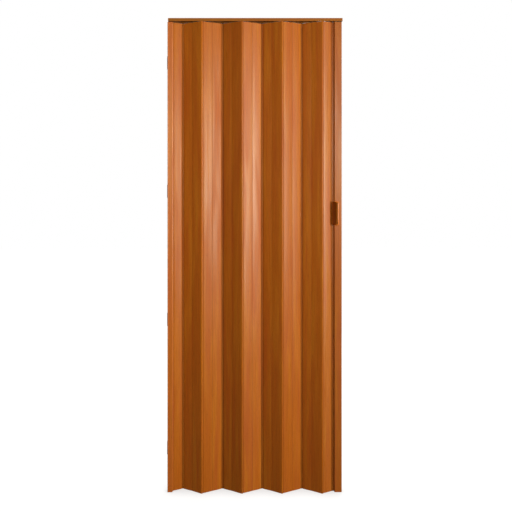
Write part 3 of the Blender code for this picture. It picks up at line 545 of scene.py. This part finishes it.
def placed_piece(name, bm, placing, materials):
    """Turns a shape drawn in millimetres into a smooth-shaded object in its place."""
    bmesh.ops.scale(bm, verts=bm.verts, vec=(MM_TO_M, MM_TO_M, MM_TO_M))
    bmesh.ops.transform(bm, matrix=placing, verts=bm.verts)
    bmesh.ops.recalc_face_normals(bm, faces=bm.faces)
    mesh = bpy.data.meshes.new(name)
    bm.to_mesh(mesh)
    bm.free()
    mesh.shade_smooth()
    mesh.set_sharp_from_angle(angle=math.radians(SHARP_ANGLE))
    for material in materials:
        mesh.materials.append(material)
    piece = bpy.data.objects.new(name, mesh)
    bpy.context.scene.collection.objects.link(piece)
    return piece


def draw_out(bm, length):
    """Fills a closed section and draws it out upward."""
    bmesh.ops.triangle_fill(bm, use_beauty=True, use_dissolve=False, edges=bm.edges[:])
    drawn = bmesh.ops.extrude_face_region(bm, geom=bm.faces[:])
    ends = [item for item in drawn["geom"] if isinstance(item, bmesh.types.BMVert)]
    bmesh.ops.translate(bm, verts=ends, vec=(0.0, 0.0, length))


def crown_arc(chord, rise):
    """Radius of the low arc that rises over the middle of a chord."""
    return (chord**2 / 4.0 + rise**2) / (2.0 * rise)


def slat_half(position, start, end):
    """Half the slat's thickness on the crown between a lobe's two ends."""
    radius = crown_arc(end - start, CROWN_HALF - GROOVE_HALF)
    offset = position - (start + end) / 2.0
    return math.sqrt(radius**2 - offset**2) - radius + CROWN_HALF


def open_lobe(bm, corner, start, end, left, right, side):
    """Draws one lobe's crown, to the right on the front (side -1) and to the left on the back."""
    radius = crown_arc(end - start, CROWN_HALF - GROOVE_HALF)
    middle = (start + end) / 2.0
    swept = math.asin((right - middle) / radius) + math.asin((middle - left) / radius)
    near = left if side < 0 else right
    corner = line_to(bm, corner, near, side * slat_half(near, start, end))
    centre = (middle, side * (CROWN_HALF - radius))
    return bend_to(bm, corner, centre, math.degrees(swept), CROWN_STEPS)


def slat_outline(bm, width, lobes):
    """The whole section of a slat whose socket opens to the back."""
    lobe_width = (width - 2.0 * LOBE_INSET) / lobes
    last_start = width - LOBE_INSET - lobe_width
    neck_half_angle = math.degrees(math.asin(NECK_HALF / BEAD_RADIUS))
    mouth_play = math.degrees(math.asin(NECK_HALF / SOCKET_INNER)) + NECK_SIDE_PLAY
    mouth_end = 2.0 * FOLD_LIMIT + mouth_play
    body_angle = math.degrees(math.asin(SLAT_EDGE_HALF / SOCKET_OUTER))
    wall_middle = (SOCKET_INNER + SOCKET_OUTER) / 2.0
    lip_radius = (SOCKET_OUTER - SOCKET_INNER) / 2.0
    lip_angle = math.degrees(lip_radius / wall_middle)
    bead_end = math.radians(-neck_half_angle)

    # The front: neck, first lobe, then the nearly flat side that runs into the knuckle
    first = first_corner(bm, LOBE_INSET - LOBE_EDGE_GAP / 2.0, -NECK_HALF)
    corner = line_to(bm, first, LOBE_INSET, -SLAT_EDGE_HALF)
    root = LOBE_INSET + SHOULDER_WIDTH
    if lobes == 2:
        corner = open_lobe(bm, corner, LOBE_INSET, last_start, root, last_start, -1)
        root = last_start
    root_half = slat_half(root, last_start, width - LOBE_INSET)
    run = width - root
    slope = math.asin(SOCKET_OUTER / math.hypot(run, root_half)) - math.atan2(root_half, run)
    touch = Vector((width - SOCKET_OUTER * math.sin(slope), -SOCKET_OUTER * math.cos(slope)))
    foot = Vector((root, -root_half))
    if lobes == 1:
        corner = line_to(bm, corner, *foot)
    chord = touch - foot
    radius = crown_arc(chord.length, KNUCKLE_CROWN)
    inward = Vector((-chord.y, chord.x)).normalized()
    centre = (foot + touch) / 2.0 + inward * (radius - KNUCKLE_CROWN)
    swept = 2.0 * math.degrees(math.asin(chord.length / 2.0 / radius))
    corner = bend_to(bm, corner, centre, swept, CROWN_STEPS)

    # The hook: its outer round, the rounded lip, its bore and the short lip on the back
    sweep = 90.0 + math.degrees(slope) - mouth_play - lip_angle
    corner = bend_to(bm, corner, (width, 0.0), sweep, HOOK_STEPS)
    lip = math.radians(-mouth_play - lip_angle)
    lip_centre = (width + wall_middle * math.cos(lip), wall_middle * math.sin(lip))
    corner = bend_to(bm, corner, lip_centre, 180.0, LIP_STEPS)
    bore = 360.0 - mouth_end - mouth_play - lip_angle
    corner = bend_to(bm, corner, (width, 0.0), -bore, SOCKET_STEPS)
    end = math.radians(mouth_end)
    corner = line_to(bm, corner, width + SOCKET_OUTER * math.cos(end), SOCKET_OUTER * math.sin(end))
    corner = bend_to(bm, corner, (width, 0.0), 180.0 - body_angle - mouth_end, 1)

    # The back: all lobes, the other side of the neck and the bead
    corner = line_to(bm, corner, width - LOBE_INSET, SLAT_EDGE_HALF)
    for lobe in range(lobes - 1, -1, -1):
        start = LOBE_INSET + lobe * lobe_width
        left = start + (SHOULDER_WIDTH if lobe == 0 else 0.0)
        right = start + lobe_width - (SHOULDER_WIDTH if lobe == lobes - 1 else 0.0)
        corner = open_lobe(bm, corner, start, start + lobe_width, left, right, 1)
    corner = line_to(bm, corner, LOBE_INSET, SLAT_EDGE_HALF)
    corner = line_to(bm, corner, LOBE_INSET - LOBE_EDGE_GAP / 2.0, NECK_HALF)
    corner = line_to(bm, corner, BEAD_RADIUS * math.cos(bead_end), -BEAD_RADIUS * math.sin(bead_end))
    corner = bend_to(bm, corner, (0.0, 0.0), 360.0 - 2.0 * neck_half_angle, BEAD_STEPS)
    close_outline(bm, first, corner)

    # The hollows: the bead's bore and two chambers in each lobe, with a rib between them
    bmesh.ops.create_circle(bm, segments=BORE_STEPS, radius=BEAD_BORE, cap_ends=False)
    for lobe in range(lobes):
        start = LOBE_INSET + lobe * lobe_width
        end = start + lobe_width
        middle = (start + end) / 2.0
        for low, high in (
            (start + CHAMBER_INSET, middle - HALF_RIB),
            (middle + HALF_RIB, end - CHAMBER_INSET),
        ):
            stations = [low, low + (high - low) / 3.0, low + (high - low) / 1.5, high]
            back_wall = [(at, slat_half(at, start, end) - SLAT_WALL) for at in stations]
            front_wall = [(at, -half) for at, half in back_wall]
            if lobe == lobes - 1:
                rise = math.tan(slope)
                front_wall = [
                    (at, SLAT_WALL - root_half - max(at - root, 0.0) * rise) for at in stations
                ]
            closed_outline(bm, front_wall + back_wall[::-1])


def mark_wear(bm, width, lobes, mouth_side, knuckle_lightening):
    """Marks the painted shade in the grooves, on the bead and on the inner side of each fold, and the
    rubbed outside of the knuckle, which carries a painted highlight.
    """
    painted_shade = bm.verts.layers.float.new("painted_shade")
    rubbed_and_lit = bm.verts.layers.float.new("rubbed_and_lit")
    lobe_width = (width - 2.0 * LOBE_INSET) / lobes
    grooves = [LOBE_INSET + lobe * lobe_width for lobe in range(lobes + 1)]
    for corner in bm.verts:
        across, toward_mouth = corner.co.x, corner.co.y * mouth_side
        beyond = toward_mouth > INNER_SIDE
        in_fold = beyond if across > width / 2.0 else toward_mouth < INNER_SIDE
        past_lobes = not LOBE_INSET + GROOVE_REACH <= across <= width - LOBE_INSET - GROOVE_REACH
        on_bead = math.hypot(across, toward_mouth) < BEAD_RADIUS + ROUND_REACH
        on_knuckle = math.hypot(across - width, toward_mouth) < SOCKET_OUTER + ROUND_REACH
        if (in_fold and past_lobes) or on_bead:
            corner[painted_shade] = FOLD_PAINTED_SHADE
            continue
        if min(abs(across - groove) for groove in grooves) < GROOVE_REACH:
            corner[painted_shade] = GROOVE_PAINTED_SHADE
        if on_knuckle:
            corner[rubbed_and_lit] = knuckle_lightening


def worn_foil(name, shift, tone, specular):
    """The foil of one slat, with the painted shade, painted highlight and wear that its own corners
    carry.
    """
    material = foil_material(name, shift, tone, specular=specular)
    nodes, links = material.node_tree.nodes, material.node_tree.links
    for label in ("painted_shade", "rubbed_and_lit"):
        share = nodes.new("ShaderNodeAttribute")
        share.attribute_name = label
        links.new(share.outputs["Fac"], nodes["Group"].inputs[label.capitalize()])
    return material


def make_slat(name, width, lobes, mouth_side, hinge, turn, shift, tone, specular, knuckle_lightening=1.0):
    """A slat drawn out over its full height and set at its hinge, turned to its fold."""
    bm = bmesh.new()
    slat_outline(bm, width, lobes)
    bmesh.ops.scale(bm, verts=bm.verts, vec=(1.0, mouth_side, 1.0))
    low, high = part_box(name)
    draw_out(bm, (high[2] - low[2]) * M_TO_MM)
    mark_wear(bm, width, lobes, mouth_side, knuckle_lightening)
    at_hinge = Matrix.Translation((hinge_places[hinge].x, hinge_places[hinge].y, low[2]))
    placing = at_hinge @ Matrix.Rotation(math.radians(turn), 4, "Z")
    material = worn_foil(name + "_foil", shift, tone, specular)
    piece = placed_piece(name + "_foil", bm, placing, [material])
    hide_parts(name)
    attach(piece, name)


make_slat(
    "half_slat_wall", SLAT_PITCH / 2, 1, -1, "wall_hinge", FOLD_AT_REST, (0.11, 2.0, 0.4),
    tone=1.02, specular=0.20,
)
# The slats' tones are painted light and shade: lower on slats 4, 6 and 8, which face away from the
# key, higher on slat 2, which the fill reaches
slat_lit_tones = (1.09, 1.01, 0.89, 1.04, 0.93, 0.99, 0.93)
slat_gloss = (0.20, 0.21, 0.20, 0.30, 0.20, 0.21, 0.20)
for number, tone, specular in zip(range(2, 9), slat_lit_tones, slat_gloss):
    folds_forward = number % 2 == 0
    make_slat(
        "slat_" + str(number), SLAT_PITCH, 2, 1 if folds_forward else -1, "hinge_" + str(number),
        -FOLD_AT_REST if folds_forward else FOLD_AT_REST,
        (0.53 * number, 1.7 * number, 0.83 * number), tone, specular,
    )
# The lead half slat's knuckle is lightened four times as much: painted light where the lead profile
# casts its shadow
make_slat(
    "half_slat_lead", SLAT_PITCH / 2, 1, -1, "hinge_9", FOLD_AT_REST, (5.3, 0.9, 2.4),
    tone=0.99, specular=0.44, knuckle_lightening=4.0,
)

# Gliders and hanger: moulded in natural nylon, pressed into the hollow tops of every second slat
# and of the lead profile. Their heads run in the track. They are coloured tan, not cream, as
# painted shade for their place under the track.
NYLON_SHADED_TAN = (0.230, 0.165, 0.090, 1.0)
nylon = moulded_material(
    "glider_nylon", (0.2, 0.6, 1.4), NYLON_SHADED_TAN, roughness=0.5, change=0.1, specular=0.25
)
for node in ("glider_2", "glider_4", "glider_6", "glider_8", "lead_hanger"):
    frame["nodes"][node].material_slots[0].material = nylon

# Hinge plugs: small stops moulded in dark brown plastic, pressed into the top of each hollow bead.
# The rim of each rests on the socket around it, so that no slat can slide down out of its hinge.
PLUG_BROWN = (0.110, 0.028, 0.006, 1.0)
plug_plastic = moulded_material("plug_plastic", (1.7, 0.5, 0.9), PLUG_BROWN, roughness=0.45)
for number in range(1, 11):
    frame["nodes"]["hinge_plug_" + str(number)].material_slots[0].material = plug_plastic

# Lead profile: the stiff hollow upright at the closing edge, extruded in rigid vinyl and foiled as
# the slats are. The hanger stands in its top, and the handles are screwed together through it.
LEAD_TONE = 0.85
frame["nodes"]["lead_profile"].material_slots[0].material = foil_material(
    "lead_foil", (7.7, 3.1, 5.9), LEAD_TONE, roughness=0.42, specular=0.35
)

# Closing strip: a flexible magnetic strip in dull black, pushed into the groove along the lead
# profile's closing edge, where it holds the shut door to the far post.
STRIP_BLACK = (0.025, 0.021, 0.019, 1.0)
frame["nodes"]["closing_strip"].material_slots[0].material = moulded_material(
    "strip_rubber", (0.9, 0.3, 2.2), STRIP_BLACK, roughness=0.62, change=0.25
)

# Handles: the same pull on either face, moulded in brown plastic with a printed grain outside,
# lightened there as a painted highlight for the rim, and with painted shade in the finger hollow.
# Its edges are slightly rounded by the mould.
# Painted shade in the finger hollow: dark, then browner toward the rim
HOLLOW_PAINTED_SHADE = (0.100, 0.017, 0.0004, 1.0)
HOLLOW_SHADE_NEAR_RIM = (0.330, 0.085, 0.005, 1.0)
HOLLOW_SHADE_FADE = (12.5, 20.5)
# A lighter tone over the whole moulding outside the hollow: a painted highlight for the rim
RIM_PAINTED_HIGHLIGHT_TONE = 1.35
MOULD_ROUND = 0.35
HANDLE_CREASE = 40.0
MERGE_DISTANCE = 0.002
FLAT_WITHIN = 1.0
HOLLOW_MARGIN = 1.2
HOLLOW_TO_RIM = 8.0
HOLLOW_END = 5.0
HOLLOW_BELOW_FACE = 1.5
FACES_OUT = -0.5


def finer_copy(node, radius):
    """The node's own shape, merged into whole faces, with its sharp edges rounded."""
    bm = bmesh.new()
    bm.from_mesh(frame["nodes"][node].data)
    bmesh.ops.scale(bm, verts=bm.verts, vec=(M_TO_MM, M_TO_MM, M_TO_MM))
    bmesh.ops.remove_doubles(bm, verts=bm.verts, dist=MERGE_DISTANCE)
    bmesh.ops.dissolve_limit(
        bm, angle_limit=math.radians(FLAT_WITHIN), use_dissolve_boundaries=False,
        verts=bm.verts[:], edges=bm.edges[:],
    )
    bm.normal_update()
    sharp = [
        edge for edge in bm.edges
        if len(edge.link_faces) == 2 and edge.calc_face_angle(0.0) > math.radians(HANDLE_CREASE)
    ]
    bmesh.ops.bevel(
        bm, geom=sharp, offset=radius, offset_type="OFFSET", segments=2, profile=0.5,
        affect="EDGES", material=-1, clamp_overlap=True,
    )
    return bm


handle_hollow_shade = moulded_material(
    "handle_hollow_shade", (2.1, 0.8, 0.5), HOLLOW_PAINTED_SHADE, roughness=0.6, change=0.15, specular=0.02
)
handle_materials = [
    foil_material("handle_plastic", (9.7, 4.1, 1.9), RIM_PAINTED_HIGHLIGHT_TONE, roughness=0.30, specular=0.5),
    handle_hollow_shade,
]

# The painted shade in the hollow fades to brown toward the tall rim
tree = handle_hollow_shade.node_tree
across = along_axis(tree, tree.nodes["Texture Coordinate"].outputs["Object"], "X")
fade_from, fade_to = [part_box("handle_front")[0][0] + reach / M_TO_MM for reach in HOLLOW_SHADE_FADE]
fade_colours = []
for value in (HOLLOW_PAINTED_SHADE, HOLLOW_SHADE_NEAR_RIM):
    plain = tree.nodes.new("ShaderNodeRGB")
    plain.outputs[0].default_value = value
    fade_colours.append(plain.outputs[0])
fade = add_range(tree, across, fade_from, fade_to, 0.0, 1.0)
tree.links.new(add_mix(tree, fade, *fade_colours), tree.nodes["Group"].inputs["Colour"])

for node, outward in (("handle_front", -1.0), ("handle_rear", 1.0)):
    low, high = [[value * M_TO_MM for value in corner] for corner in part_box(node)]
    bm = finer_copy(node, MOULD_ROUND)
    for face in bm.faces:
        middle = face.calc_center_median()
        inside_x = low[0] + HOLLOW_MARGIN < middle.x < high[0] - HOLLOW_TO_RIM
        inside_z = low[2] + HOLLOW_END < middle.z < high[2] - HOLLOW_END
        sunk_in = middle.y * outward < max(abs(low[1]), abs(high[1])) - HOLLOW_BELOW_FACE
        looks_out = face.normal.y * outward > FACES_OUT
        face.material_index = 1 if inside_x and inside_z and sunk_in and looks_out else 0
    piece = placed_piece(node + "_moulding", bm, Matrix.Identity(4), handle_materials)
    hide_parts(node)
    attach(piece, "lead")

# Handle screws: two long zinc-plated steel screws that pass through the lead profile and pull
# both handles against its faces.
ZINC = (0.560, 0.560, 0.590, 1.0)
zinc = moulded_material(
    "screw_zinc", (0.1, 0.2, 0.3), ZINC, roughness=0.34, change=0.08, specular=0.5
)
zinc.node_tree.nodes["Principled BSDF"].inputs["Metallic"].default_value = 1.0
for number in (1, 2):
    frame["nodes"]["handle_screw_" + str(number)].material_slots[0].material = zinc
